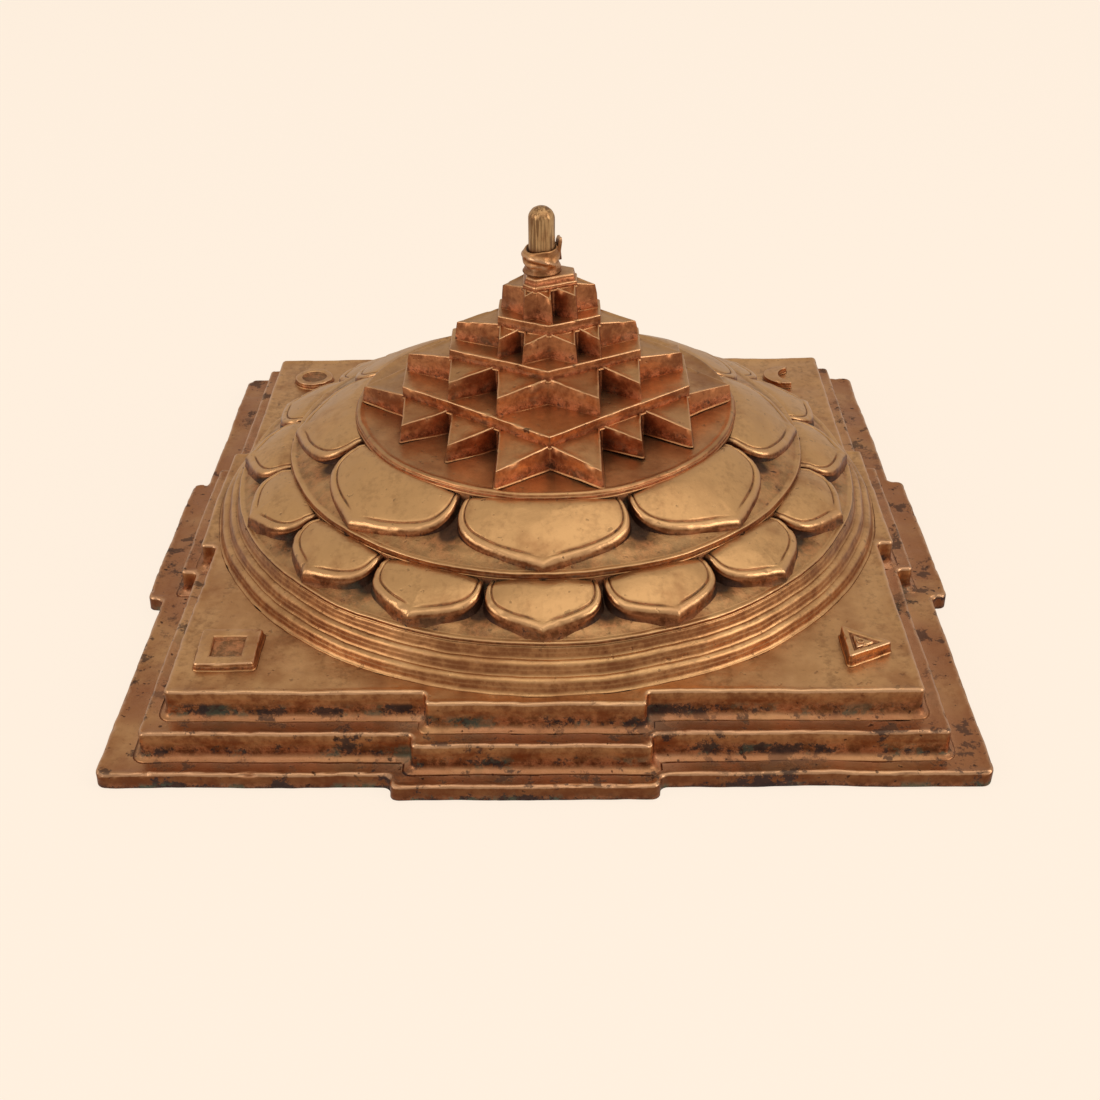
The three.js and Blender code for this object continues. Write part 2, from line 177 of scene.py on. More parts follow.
# Corner seals
SEAL_RECESS = 0.6
SQUARE_SEAL_SIDE = 10.8
TRIANGLE_SEAL_RADIUS = 5.8
TRIANGLE_ISLAND_RADIUS = 2.6
TINY_RING_RADIUS = 0.75
ROUND_SEAL_RADIUS = 4.4
CRESCENT_RADIUS = 4.6
CRESCENT_BITE = 3.6
CRESCENT_SHIFT = 2.4
CRESCENT_HORNS_DEG = (72, 288)

# Hand work: how far and over what length a surface wanders, and where its edges are nicked.
# The seed places the noise, so every run gives the same shapes.
NOISE_SEED = 7
WOBBLE = 0.24
WOBBLE_SIZE = 13.0
DENT = 0.08
DENT_SIZE = 3.2
NICK_SIZE = 1.3
NICK_FROM = 0.22
NICKED_WEAR = 0.3

# How far a cast body may pass its CAD node at the foot and at the top
PAST_FOOT = 0.35
PAST_TOP = 0.2

# The plates are redder and stained below the first height, and have darker walls below the second
LEDGES_BELOW = 10.6
LOWEST_BELOW = 4.4

# Table and room
TABLE_HALF_M = 3.0
TABLE_DROP_M = 2e-5
TABLE_GLOW = 0.93
ROOM_GLOW = 0.55
LAMP_TINT = (1.0, 0.97, 0.93)

noise.seed_set(NOISE_SEED)


def box_mm(node):
    """Lowest and highest corner of a CAD node, in millimetres."""
    low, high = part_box(node)
    return np.array(low) / MM, np.array(high) / MM


def levels(node):
    """Heights of a CAD node's underside and top, in millimetres."""
    low, high = box_mm(node)
    return low[2], high[2]


def bell(away, reach):
    """1 where away is nought, falling off smoothly over the reach to either side."""
    return np.exp(-((away / reach) ** 2))


# Outlines


def mitred(corners, distance):
    """The outline moved inwards by a distance, corner by corner."""
    before = np.roll(corners, 1, axis=0)
    after = np.roll(corners, -1, axis=0)
    arriving = corners - before
    arriving /= np.linalg.norm(arriving, axis=1, keepdims=True)
    leaving = after - corners
    leaving /= np.linalg.norm(leaving, axis=1, keepdims=True)
    both = arriving + leaving
    bisector = np.stack([-both[:, 1], both[:, 0]], axis=1)
    scale = 2 * distance / (bisector**2).sum(axis=1, keepdims=True)
    return corners + bisector * scale


def turned(angle):
    """A matrix that turns a point in plan by an angle."""
    c, s = math.cos(angle), math.sin(angle)
    return np.array([[c, -s], [s, c]])


class Outline:
    """A closed outline with rounded corners, which can be drawn again at any inset."""

    def __init__(self, corners, radius, spacing, arc_steps=5):
        self.corners = np.array(corners, float)
        self.radius = radius
        self.arc_steps = arc_steps
        edges = np.roll(self.corners, -1, axis=0) - self.corners
        lengths = np.linalg.norm(edges, axis=1)
        self.counts = [max(1, int(round(length / spacing))) for length in lengths]

    def ring(self, inset=0.0):
        corners = mitred(self.corners, inset)
        count = len(corners)
        starts, ends, arcs = [], [], []
        for i in range(count):
            corner = corners[i]
            arriving = corner - corners[i - 1]
            leaving = corners[(i + 1) % count] - corner
            reach = CORNER_SHARE * min(np.linalg.norm(arriving), np.linalg.norm(leaving))
            arriving = arriving / np.linalg.norm(arriving)
            leaving = leaving / np.linalg.norm(leaving)
            cross = arriving[0] * leaving[1] - arriving[1] * leaving[0]
            turn = math.atan2(cross, float(arriving @ leaving))
            side = 1.0 if turn > 0 else -1.0
            half = abs(turn) / 2
            radius = max(self.radius - side * inset, LEAST_RADIUS)
            tangent = min(radius * math.tan(half), reach)
            radius = tangent / math.tan(half)
            start = corner - arriving * tangent
            centre = start + side * radius * np.array([-arriving[1], arriving[0]])
            spoke = start - centre
            arc = []
            for j in range(self.arc_steps + 1):
                arc.append(centre + turned(turn * j / self.arc_steps) @ spoke)
            starts.append(start)
            ends.append(corner + leaving * tangent)
            arcs.append(arc)
        points = []
        for i in range(count):
            points.extend(arcs[i])
            steps = self.counts[i]
            finish = starts[(i + 1) % count]
            for j in range(1, steps):
                points.append(ends[i] + (finish - ends[i]) * j / steps)
        return np.array(points)

    def spread(self, per_corner):
        """A value or point for each corner, shared out over every point of a ring."""
        values = np.array(per_corner, float)
        count = len(values)
        points = []
        for i in range(count):
            points.extend([values[i]] * (self.arc_steps + 1))
            steps = self.counts[i]
            for j in range(1, steps):
                share = j / steps
                points.append((1 - share) * values[i] + share * values[(i + 1) % count])
        return np.array(points)


class Circle:
    """A round outline that can be drawn at any inset."""

    def __init__(self, radius, segments):
        angles = np.linspace(0, 2 * math.pi, segments, endpoint=False)
        self.radius = radius
        self.directions = np.stack([np.cos(angles), np.sin(angles)], axis=1)

    def ring(self, inset=0.0):
        return self.directions * (self.radius - inset)


# Meshes


class Shell:
    """Vertices and faces in millimetres, with how worn each vertex is and how grimy or darkened by
    painted shade.
    """

    def __init__(self):
        self.points = []
        self.faces = []
        self.wear = []
        self.grime_and_shade = []
        self.count = 0

    def join(self, base, size):
        """Faces between the ring that starts at base and the ring after it."""
        for i in range(size):
            j = (i + 1) % size
            self.faces.append((base + i, base + j, base + size + j, base + size + i))

    def loft(self, rings, capped=(True, True)):
        """rings is a list of (Nx3 points, wear, grime) from the bottom up, counterclockwise.
        capped says whether the first and the last ring are closed."""
        size = len(rings[0][0])
        first = self.count
        for points, wear, grime_and_shade in rings:
            self.points.append(points)
            self.wear.append(np.full(size, wear))
            self.grime_and_shade.append(np.full(size, grime_and_shade))
            self.count += size
        for level in range(len(rings) - 1):
            self.join(first + level * size, size)
        if capped[0]:
            self.faces.append(tuple(range(first + size - 1, first - 1, -1)))
        if capped[1]:
            self.faces.append(tuple(range(self.count - size, self.count)))
        return self

    def flat_loft(self, outline, steps, centre=(0.0, 0.0), capped=(True, True)):
        """steps is a list of (inset, height, wear, grime) on one outline."""
        rings = []
        for inset, height, wear, grime_and_shade in steps:
            flat = outline.ring(inset) + np.array(centre)
            rings.append((np.column_stack([flat, np.full(len(flat), height)]), wear, grime_and_shade))
        return self.loft(rings, capped)

    def flat_top(self, height, count, radius, grime_and_shade):
        """Carries the last ring inwards over a flat top to a circle, and closes it there."""
        ring = self.points[-1][:, :2]
        size = len(ring)
        circle = ring / np.linalg.norm(ring, axis=1, keepdims=True) * radius
        base = self.count - size
        for index in range(1, count + 1):
            share = index / count
            flat = (1 - share) * ring + share * circle
            self.points.append(np.column_stack([flat, np.full(size, height)]))
            self.wear.append(np.zeros(size))
            self.grime_and_shade.append(np.full(size, grime_and_shade * share))
            self.join(base, size)
            base += size
        self.count += count * size
        self.faces.append(tuple(range(base, base + size)))


def hand_made(points, amount):
    """Moves points as an uneven wax pattern does, the same way wherever pieces meet."""
    moved = points.copy()
    for i, point in enumerate(points):
        slow = noise.noise_vector(Vector(point) / WOBBLE_SIZE)
        quick = noise.noise_vector(Vector(point) / DENT_SIZE)
        moved[i] += amount * (WOBBLE * np.array(slow) + DENT * np.array(quick))
    return moved


def nicked(mesh, wear, depth):
    """Small chips along the worn edges, cut in along the surface's own normals.
    depth is in millimetres."""
    count = len(mesh.vertices)
    places, normals = np.empty(count * 3), np.empty(count * 3)
    mesh.vertices.foreach_get("co", places)
    mesh.vertices.foreach_get("normal", normals)
    places, normals = places.reshape(-1, 3), normals.reshape(-1, 3)
    for index in np.nonzero(wear > NICKED_WEAR)[0]:
        chip = max(0.0, noise.noise(Vector(places[index] / (NICK_SIZE * MM))) - NICK_FROM)
        places[index] -= normals[index] * (chip * wear[index] * depth * MM)
    mesh.vertices.foreach_set("co", places.ravel())


def piece(shell, node, amount=1.0, nicks=0.5):
    """Makes the object that stands for a CAD node, kept inside the CAD model's box and near the part's
    foot and top.
    amount scales how uneven it is, and nicks is the depth of the chips in its edges."""
    points = hand_made(np.concatenate(shell.points), amount)
    low, high = np.array(cad_low) / MM, np.array(cad_high) / MM
    node_low, node_high = box_mm(node)
    low[2] = max(low[2], node_low[2] - PAST_FOOT)
    high[2] = min(high[2], node_high[2] + PAST_TOP)
    points = np.clip(points, low, high)
    name = f"{node}_cast"
    mesh = bpy.data.meshes.new(name)
    mesh.from_pydata((points * MM).tolist(), [], shell.faces)
    wear = np.concatenate(shell.wear)
    nicked(mesh, wear, nicks)
    for title, values in (("wear", wear), ("grime_and_shade", np.concatenate(shell.grime_and_shade))):
        layer = mesh.attributes.new(title, "FLOAT", "POINT")
        layer.data.foreach_set("value", values)
    mesh.shade_smooth()
    mesh.update()
    made = bpy.data.objects.new(name, mesh)
    bpy.context.scene.collection.objects.link(made)
    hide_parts(node)
    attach(made, "root")


# The profile that repeats: the foot's fillet, the wall and the rounded top edge


def cast_wall(bottom, top, foot, edge, draft=0.0, dish=0.0, reach=None, over_top=3):
    """(inset, height, wear, grime) steps from a filleted foot to a rounded edge and in over the
    top. reach is how far the fillet runs out, where that differs from its height, and over_top
    how many of the three steps over the top are taken."""
    steps = []
    reach = foot if reach is None else reach
    sunk = min(foot, SUNK)
    for share, grime_and_shade in ((0.0, 0.25), (0.25, 0.2), (0.5, 0.3), (0.75, 0.55), (1.0, 0.7)):
        angle = share * math.pi / 2
        height = bottom - sunk * (1 - share) + foot * (1 - math.cos(angle))
        steps.append((-reach * (1 - math.sin(angle)), height, 0.0, grime_and_shade))
    wall = top - edge - bottom - foot
    for share, grime_and_shade in ((0.3, 0.5), (0.6, 0.2), (1.0, 0.0)):
        steps.append((draft * share, bottom + foot + wall * share, 0.25 * share, grime_and_shade))
    for share in (0.2, 0.4, 0.6, 0.8, 1.0):
        angle = share * math.pi / 2
        inset = draft + edge * (1 - math.cos(angle))
        steps.append((inset, top - edge * (1 - math.sin(angle)), math.sin(2 * angle) * 0.4 + 0.6, 0.0))
    for further, share, wear in ((0.25, 0.25, 0.5), (0.7, 0.8, 0.1), (1.2, 1.0, 0.0))[:over_top]:
        steps.append((draft + edge + further, top - dish * share, wear, 0.0))
    return steps


def worn_less(steps, wear_share, grime_share):
    """The same profile with less wear and grime."""
    return [(inset, height, wear_share * w, grime_share * g) for inset, height, w, g in steps]


# Square plates


def gated_rectangle(half_x, half_y, gate):
    """Corners of a rectangle with a gate on each side, of which the front one is off the middle."""
    width, shift = gate
    half = width / 2
    out_x = half_x + GATE_PROJECTION
    out_y = half_y + GATE_PROJECTION
    return [
        (-half_x, -half_y),
        (shift - half, -half_y),
        (shift - half, -out_y),
        (shift + half, -out_y),
        (shift + half, -half_y),
        (half_x, -half_y),
        (half_x, -half),
        (out_x, -half),
        (out_x, half),
        (half_x, half),
        (half_x, half_y),
        (half, half_y),
        (half, out_y),
        (-half, out_y),
        (-half, half_y),
        (-half_x, half_y),
        (-half_x, half),
        (-out_x, half),
        (-out_x, -half),
        (-half_x, -half),
    ]


def plate(node, gate, flare, nicks):
    """A gated plate. The lowest has no flare: it stands on a rounded edge, without a fillet."""
    (_, _, bottom), (half_x, half_y, top) = box_mm(node)
    lowest = flare == 0.0
    margin = flare + GATE_PROJECTION
    radius = LOWEST_RADIUS if lowest else PLATE_RADIUS
    foot = LOWEST_FOOT if lowest else PLATE_FOOT
    corners = gated_rectangle(half_x - margin, half_y - margin, gate)
    steps = cast_wall(bottom, top, foot, PLATE_EDGE, dish=PLATE_DISH, reach=PLATE_FOOT_REACH)
    if lowest:
        steps = [(0.45, bottom, 0.2, 0.6), (0.12, bottom + 0.15, 0.5, 0.4)] + steps[4:]
    last, height = steps[-1][:2]
    for further, grime_and_shade in ((1.4, 0.1), (2.8, 0.2), (4.2, 0.3)):
        steps.append((last + further, height, 0.0, grime_and_shade))
    shell = Shell().flat_loft(Outline(corners, radius, spacing=1.0), steps, capped=(True, False))
    shell.flat_top(height, count=7, radius=PLATE_MIDDLE_RADIUS, grime_and_shade=0.5)
    piece(shell, node, amount=1.3 if lowest else 1.0, nicks=nicks)


plate("bhupura_lower_plate", LOWER_GATE, 0.0, nicks=1.3)
plate("bhupura_middle_plate", MIDDLE_GATE, PLATE_FLARE, nicks=1.0)
plate("bhupura_upper_plate", UPPER_GATE, PLATE_FLARE, nicks=0.6)

# Round steps

step_nodes = ["girdle_step_outer", "girdle_step_middle", "girdle_step_inner"]
outer_step_radius = box_mm(step_nodes[0])[1][0]
for index, node in enumerate(step_nodes):
    bottom, top = levels(node)
    circle = Circle(outer_step_radius - index * STEP_TREAD, 320)
    wall = cast_wall(bottom, top, foot=0.8, edge=1.0, draft=0.2, dish=0.12)
    piece(Shell().flat_loft(circle, worn_less(wall, 0.45, 0.35)), node, amount=1.2, nicks=0.3)

# Petal rings


def bezier(start, first, second, end, count):
    """Points along a curve that leaves its start towards first and reaches its end from second."""
    share = np.linspace(0, 1, count + 1)[:, None]
    start, first, second, end = (np.array(point, float) for point in (start, first, second, end))
    rest = 1 - share
    bend = 3 * rest**2 * share * first + 3 * rest * share**2 * second
    return rest**3 * start + bend + share**3 * end


def petal_half():
    """Half a petal's outline as (share of half pitch, share of length), root to tip."""
    root = np.array([[PETAL_NECK, -1.0], [PETAL_NECK, -0.5]])
    shoulder = bezier((PETAL_NECK, 0), (0.99, 0.25), (0.97, 0.5), PETAL_SHOULDER, 16)
    tip = bezier(PETAL_SHOULDER, (0.52, 0.83), (0.16, 0.88), (0, 1), 22)
    return np.concatenate([root, shoulder, tip[1:]])


class Petal:
    """One petal of a ring, as rings of points from its foot to the middle of its field."""

    def __init__(self, circle_radius, length, half_pitch, turn, top_at):
        self.circle_radius = circle_radius
        self.length = length
        self.half_pitch = half_pitch
        self.turn = turn
        self.top_at = top_at
        half = petal_half()
        shares = np.concatenate([half[:-1] * np.array([-1, 1]), half[::-1]])
        self.along = np.where(shares[:, 1] < 0, shares[:, 1] * PETAL_ROOT, shares[:, 1] * length)
        self.across = shares[:, 0]

    def place(self, inset, towards_middle=0.0):
        """Points in plan (x, y, radius) at an inset from the edge. The pointed tip draws in
        further than the sides."""
        half_width = self.half_pitch * (self.circle_radius + PETAL_WIDEST * self.length)
        across = self.across * (half_width - inset) / half_width
        span = self.length + PETAL_ROOT
        along = -PETAL_ROOT + (self.along + PETAL_ROOT) * (span - TIP_INSET * inset) / span
        middle_along = PETAL_MIDDLE * self.length
        across = across * (1 - towards_middle)
        along = along + (middle_along - along) * towards_middle
        radius = self.circle_radius + along
        angle = across * self.half_pitch + self.turn
        return np.column_stack([radius * np.sin(angle), -radius * np.cos(angle), radius])

    def rings(self, floor):
        """The groove and the field's rise fade out towards the tip, and the foot is black beside the
        shoulders, as painted shade."""
        rings = []
        open_tip = np.clip((self.along / self.length - 0.88) / 0.1, 0.0, 1.0)
        shoulder = bell(self.along / self.length - 0.45, 0.22)
        shoulder = shoulder * np.clip((np.abs(self.across) - 0.5) / 0.3, 0.0, 1.0)
        for inset, lift, wear, grime_and_shade in PETAL_PROFILE:
            plan = self.place(inset)
            groove = 1 - open_tip if inset > GROOVE_INSET else 1.0
            heights = np.maximum(self.top_at(plan[:, 2]) + lift * groove, floor)
            # Painted shade: a high grime value makes the foot black beside the shoulders
            black = shoulder if inset <= 0.0 else 0.0
            rings.append((np.column_stack([plan[:, :2], heights]), wear, grime_and_shade * groove + black))
        inset, lift = PETAL_PROFILE[-1][:2]
        for share in (0.08, 0.18, 0.3, 0.44, 0.58, 0.72, 0.86, 0.96):
            plan = self.place(inset, share)
            dome = lift * (1 - open_tip * (1 - share)) + PETAL_DOME * (1 - (1 - share) ** 2.4)
            rings.append((np.column_stack([plan[:, :2], self.top_at(plan[:, 2]) + dome]), 0.15, 0.0))
        return rings


def petal_tier(node, count, circle_radius, foot_radius, length, lip, tip_rise):
    """Ground that slopes from its foot up to a circle, with petals lying on it tips outwards."""
    bottom, top = levels(node)
    tip_radius = circle_radius + length
    tip_top = bottom + lip + tip_rise
    slope = (top - tip_top) / length

    def top_at(radius):
        return np.minimum(tip_top + slope * (tip_radius - radius), top - PETAL_TOP_BELOW)

    ground_top = top - PETAL_THICKNESS
    circle = Circle(foot_radius, 360)
    steps = cast_wall(bottom, bottom + lip, foot=0.2, edge=0.25, over_top=0)
    steps += [
        (0.6, bottom + lip + 0.02, 0.2, 0.2),
        (1.2, bottom + lip - 0.05, 0.0, 0.5),
    ]
    run = foot_radius - circle_radius
    pitch = 2 * math.pi / count
    edge_x, edge_y = circle.ring().T
    off_gap = np.abs(np.arctan2(edge_x, -edge_y) / pitch % 1.0 - 0.5) * pitch
    for share in (0.2, 0.32, 0.44, 0.56, 0.68, 0.8, 0.92):
        height = bottom + lip + (ground_top - bottom - lip) * share
        radius = foot_radius - run * share
        # The ground dips in the gaps between the petals, and a high grime value paints shade there
        gap = bell(off_gap * radius, GAP_REACH) * bell(share - GAP_PLACE, GAP_LENGTH)
        steps.append((run * share, height - 0.05 - 0.35 * gap, 0.1, 0.45 + 1.5 * gap))
    steps += [
        (run - 0.25, ground_top + 0.1, 0.0, 0.9),
        (run - 0.02, ground_top + 0.5, 0.1, 0.6),
        (run + 0.02, top - 0.3, 0.3, 0.2),
        (run + 0.3, top - 0.02, 0.4, 0.0),
        (run + 0.6, top - 0.02, 0.0, 0.0),
    ]
    shell = Shell().flat_loft(circle, steps)
    for index in range(count):
        petal = Petal(circle_radius, length, pitch / 2, pitch * index, top_at)
        shell.loft(petal.rings(bottom + 0.1))
    piece(shell, node)


inner_step_radius = outer_step_radius - (len(step_nodes) - 1) * STEP_TREAD
sixteen_foot_radius = inner_step_radius - STEP_EDGE
eight_circle_radius = sixteen_foot_radius - SIXTEEN_MARGIN - SIXTEEN_LENGTH
star_circle_radius = eight_circle_radius - EIGHT_MARGIN - EIGHT_LENGTH
petal_tier(
    "sixteen_petal_tier",
    16,
    eight_circle_radius,
    sixteen_foot_radius,
    SIXTEEN_LENGTH,
    SIXTEEN_LIP,
    SIXTEEN_TIP_RISE,
)
petal_tier(
    "eight_petal_tier",
    8,
    star_circle_radius,
    eight_circle_radius,
    EIGHT_LENGTH,
    EIGHT_LIP,
    EIGHT_TIP_RISE,
)

# Crown

figure_radius = star_circle_radius - FIGURE_MARGIN


def half_chord(u):
    """Half the width of the figure's circle, u units down."""
    middle = FIGURE_UNITS / 2
    return math.sqrt(middle**2 - (middle - u) ** 2)


def side(apex, u, half_width):
    """A triangle's right side: half the triangle's width, so many units down."""
    return lambda at: half_width * (at - apex) / (u - apex)


down3 = side(FIGURE_UNITS, LINE[3], half_chord(LINE[3]))
up7 = side(0, LINE[7], half_chord(LINE[7]))
down1 = side(LINE[6], LINE[2], up7(LINE[2]))
down2 = side(LINE[9], LINE[3], up7(LINE[3]))
up8 = side(LINE[1], LINE[7], down3(LINE[7]))
up9 = side(LINE[3], LINE[8], down3(LINE[8]))
down4 = side(LINE[8], LINE[4], up8(LINE[4]))
up6 = side(LINE[2], LINE[6], down2(LINE[6]))
down5 = side(LINE[7], LINE[5], up6(LINE[5]))


def crossing(narrowing, widening):
    """Where a side that narrows on the way down meets one that widens, found by halving."""
    low, high = 0.0, float(FIGURE_UNITS)
    for _ in range(50):
        middle = (low + high) / 2
        if narrowing(middle) > widening(middle):
            low = middle
        else:
            high = middle
    return (low, widening(low))


def on(number, side_line):
    """Where a triangle's side meets a numbered cross line."""
    return (LINE[number], side_line(LINE[number]))


# The right half of each star tier's outline, and of the hexagon on it, from top to bottom
STARS = {
    "fourteen_triangle_tier": [
        (0, 0), on(1, up7), on(1, down1), on(2, up7), on(2, down2), on(3, up7), on(3, down3),
        crossing(down3, up7), on(7, up7), on(7, down3), on(8, up8), on(8, down3), on(9, up9),
        on(9, down3), (FIGURE_UNITS, 0),
    ],
    "outer_ten_triangle_tier": [
        (LINE[1], 0), on(2, up8), on(2, up7), on(3, down1), on(3, up7), crossing(down2, up8),
        on(7, down3), on(7, down2), on(8, down3), on(8, down2), (LINE[9], 0),
    ],
    "inner_ten_triangle_tier": [
        (LINE[2], 0), on(3, up6), on(3, down1), on(4, down1), on(4, up8), crossing(down4, up6),
        on(6, down2), on(6, down4), on(7, down2), on(7, down4), (LINE[8], 0),
    ],
    "eight_triangle_tier": [
        (LINE[3], 0), on(4, up9), on(4, down1), on(5, up9), on(5, up6), crossing(down5, up9),
        on(6, down4), on(6, down5), (LINE[7], 0),
    ],
}
HEXAGONS = {
    "fourteen_triangle_tier": [on(1, up7), crossing(down3, up7), on(9, down3)],
    "outer_ten_triangle_tier": [on(2, up8), crossing(down2, up8), on(8, down2)],
    "inner_ten_triangle_tier": [on(3, up6), crossing(down4, up6), on(7, down4)],
    "eight_triangle_tier": [on(4, up9), crossing(down5, up9), on(6, down5)],
}


def in_plan(right_side, shift):
    """The figure lies with its top towards +X and its right-hand side towards the viewer."""
    unit = 2 * figure_radius / FIGURE_UNITS

    def place(point, mirror):
        u, half = point
        return (shift + figure_radius - u * unit, -mirror * half * unit)

    right = [place(point, 1) for point in right_side]
    left = [place(point, -1) for point in right_side if point[1] > 0]
    return np.array(left + right[::-1])


def star_shell(shell, corners, bottom, top, fall):
    """A star whose every second corner is a tip, with each triangle's top falling to its tip."""
    star = Outline(corners, radius=0.22, spacing=0.6, arc_steps=4)
    is_tip = np.arange(len(corners)) % 2 == 1
    fall_at = star.spread(np.where(is_tip, fall, 0.0))
    inner = mitred(corners, TIER_DRAFT + TIER_EDGE + 0.5)
    between = (np.roll(inner, 1, axis=0) + np.roll(inner, -1, axis=0)) / 2
    middle = star.spread(np.where(is_tip[:, None], between, inner))
    rings = []
    wall = cast_wall(bottom, top, foot=0.35, edge=TIER_EDGE, draft=TIER_DRAFT, over_top=0)
    for inset, height, wear, grime_and_shade in wall:
        share = (height - bottom) / (top - bottom)
        rings.append((np.column_stack([star.ring(inset), height - share * fall_at]), wear, grime_and_shade))
    rim = star.ring(TIER_DRAFT + TIER_EDGE)
    for share in (0.08, 0.2, 0.4, 0.6, 0.8, 1.0):
        flat = (1 - share) * rim + share * middle
        dish = 0.16 * math.sin(math.pi * min(1.0, share * 1.5))
        rings.append((np.column_stack([flat, top - fall_at * (1 - share) - dish]), 0.0, 0.15 * share))
    shell.loft(rings)


bottom, top = levels("star_floor_disc")
wall = cast_wall(bottom, top, foot=0.3, edge=0.6, draft=0.15, dish=0.35)
disc = Shell().flat_loft(Circle(star_circle_radius, 300), worn_less(wall, 0.5, 1.0))
piece(disc, "star_floor_disc", nicks=0.3)

for node, (fall, lip, shift) in TIERS.items():
    bottom, top = levels(node)
    star_top = top - lip
    shell = Shell()
    star_shell(shell, mitred(in_plan(STARS[node], shift), TIER_SETBACK), bottom, star_top, fall)
    corners = mitred(in_plan(HEXAGONS[node], shift), TIER_SETBACK)
    hexagon = Outline(corners, radius=0.3, spacing=0.7, arc_steps=4)
    shell.flat_loft(hexagon, cast_wall(star_top - 0.3, top, foot=0.3, edge=0.25, over_top=2))
    piece(shell, node)

bottom, top = levels("summit_platform")
summit_corners = in_plan(HEXAGONS["eight_triangle_tier"], TIERS["eight_triangle_tier"][2])
summit = Outline(mitred(summit_corners, TIER_SETBACK + PLATFORM_SETBACK), radius=0.5, spacing=0.5)
wall = cast_wall(bottom, top, foot=0.35, edge=0.35, draft=0.15, over_top=2)
piece(Shell().flat_loft(summit, wall), "summit_platform")

# Pin and collar


def pin():
    """A domed rod whose sides were filed into uneven flats, darker where the collar holds it."""
    bottom, top = levels("bindu_pin")
    radius = PIN_DIAMETER / 2
    axis = np.array([PIN_X, 0.0])
    clean = bottom + PIN_CLEAN_FROM
    steps = [(0.0, bottom, 0.0, 0.5), (0.0, clean - 1.0, 0.0, 0.6), (0.0, clean, 0.0, 0.2)]
    for share in (0.3, 0.6, 1.0):
        steps.append((0.0, clean + share * (top - radius - 0.3 - clean), 0.1, 0.0))
    for share in np.linspace(0.06, 0.97, 12):
        angle = share * math.pi / 2
        height = top - 0.9 * radius * (1 - math.sin(angle))
        steps.append((radius * (1 - math.cos(angle)), height, 0.2, 0.0))
    shell = Shell().flat_loft(Circle(radius, 64), steps, axis)
    for ring in shell.points:
        spoke = ring[:, :2] - axis
        turn = np.arctan2(spoke[:, 1], spoke[:, 0])
        flats = 1 - 0.03 * np.abs(np.sin(3.5 * turn)) - 0.02 * np.abs(np.sin(8 * turn + 1))
        ring[:, :2] = axis + spoke * flats[:, None]
    piece(shell, "bindu_pin", amount=0.3, nicks=0.2)


def collar():
    """A strip wrapped round the pin's foot: two slanting folds that cross and one end standing."""
    bottom, top = levels("bindu_collar")
    axis = np.array([PIN_X, 0.0])
    inner = PIN_DIAMETER / 2 + COLLAR_CLEARANCE
    count = 96
    turn = np.linspace(0, 2 * math.pi, count, endpoint=False)
    around = np.column_stack([np.cos(turn), np.sin(turn)])
    brim = 0.3 * np.sin(turn + 1.2) + 0.14 * np.sin(3 * turn)

    def wrapped(rise, wall):
        """Radius of the strip all round at a height, and how far a fold stands out there."""
        ridge = np.zeros(count)
        for middle, slant, start, thickness in COLLAR_FOLDS:
            away = rise - middle - slant * np.sin(turn - start)
            ridge = np.maximum(ridge, thickness * bell(away, 0.75))
        waist = 1 - 0.3 * bell(rise - 1.3, 0.6)
        return inner + (wall + ridge * 0.75) * waist, ridge

    def ring(radius, height):
        return np.column_stack([around * radius[:, None] + axis, height])

    rings = []
    for share in np.linspace(0.0, 1.0, 26):
        rise = share * (COLLAR_HEIGHT - 0.3)
        radius, ridge = wrapped(rise, 0.4 + 0.6 * (1 - share) ** 5)
        wear = np.clip(ridge * 1.1, 0, 1)
        rings.append((ring(radius, bottom + rise + brim * share), wear, 0.6 * (1 - share)))
    for inset, lower in ((0.1, -0.12), (0.24, -0.14), (BRIM_INSET, 0.6)):
        narrower = radius - inset * (radius - inner + 0.1) / BRIM_INSET
        rings.append((ring(narrower, bottom + rise + brim - lower), 0.6 - inset, 0.4))
    shell = Shell().loft(rings)

    half_x, half_y = TAB_HALF
    corners = [(-half_x, -half_y), (half_x, -half_y), (half_x, half_y), (-half_x, half_y)]
    tab = Outline(corners, radius=0.2, spacing=0.3)
    rings = []
    for inset, height, wear, lean in (
        (-0.1, bottom + 2.0, 0.2, 0.1),
        (0.0, bottom + 3.6, 0.4, 0.0),
        (0.05, top - 0.7, 0.5, 0.25),
        (0.2, top - 0.1, 1.0, 0.35),
    ):
        flat = (tab.ring(inset) + np.array([inner + 0.55 + lean, 0.0])) @ turned(TAB_TURN).T + axis
        rings.append((np.column_stack([flat, np.full(len(flat), height)]), wear, 0.0))
    shell.loft(rings)
    piece(shell, "bindu_collar", amount=1.6, nicks=0.8)


pin()
collar()

# Corner seals


def regular(sides, radius, first_angle):
    """Corners of a regular outline."""
    angles = [first_angle + 2 * math.pi * i / sides for i in range(sides)]
    return [(radius * math.cos(angle), radius * math.sin(angle)) for angle in angles]


def seal_shell(node, outline, rim, centre):
    """A raised frame round a sunk middle."""
    bottom, top = levels(node)
    steps = cast_wall(bottom, top, foot=0.35, edge=0.3, draft=0.12, over_top=0)
    steps += [
        (0.8 * rim, top - 0.04, 0.3, 0.0),
        (rim, top - 0.1, 0.6, 0.0),
        (rim + 0.1, top - 0.6 * SEAL_RECESS, 0.0, 0.8),
        (rim + 0.25, top - SEAL_RECESS, 0.0, 1.0),
        (rim + 0.55, top - SEAL_RECESS, 0.0, 0.7),
    ]
    return Shell().flat_loft(outline, steps, centre)


def middle_of(node):
    """Middle of a CAD node in plan."""
    low, high = box_mm(node)
    return ((low + high) / 2)[:2]


def square_seal():
    node = "corner_seal_square"
    corners = regular(4, SQUARE_SEAL_SIDE / math.sqrt(2), math.pi / 4)
    outline = Outline(corners, radius=0.8, spacing=0.6)
    piece(seal_shell(node, outline, 2.5, middle_of(node)), node, amount=1.4)


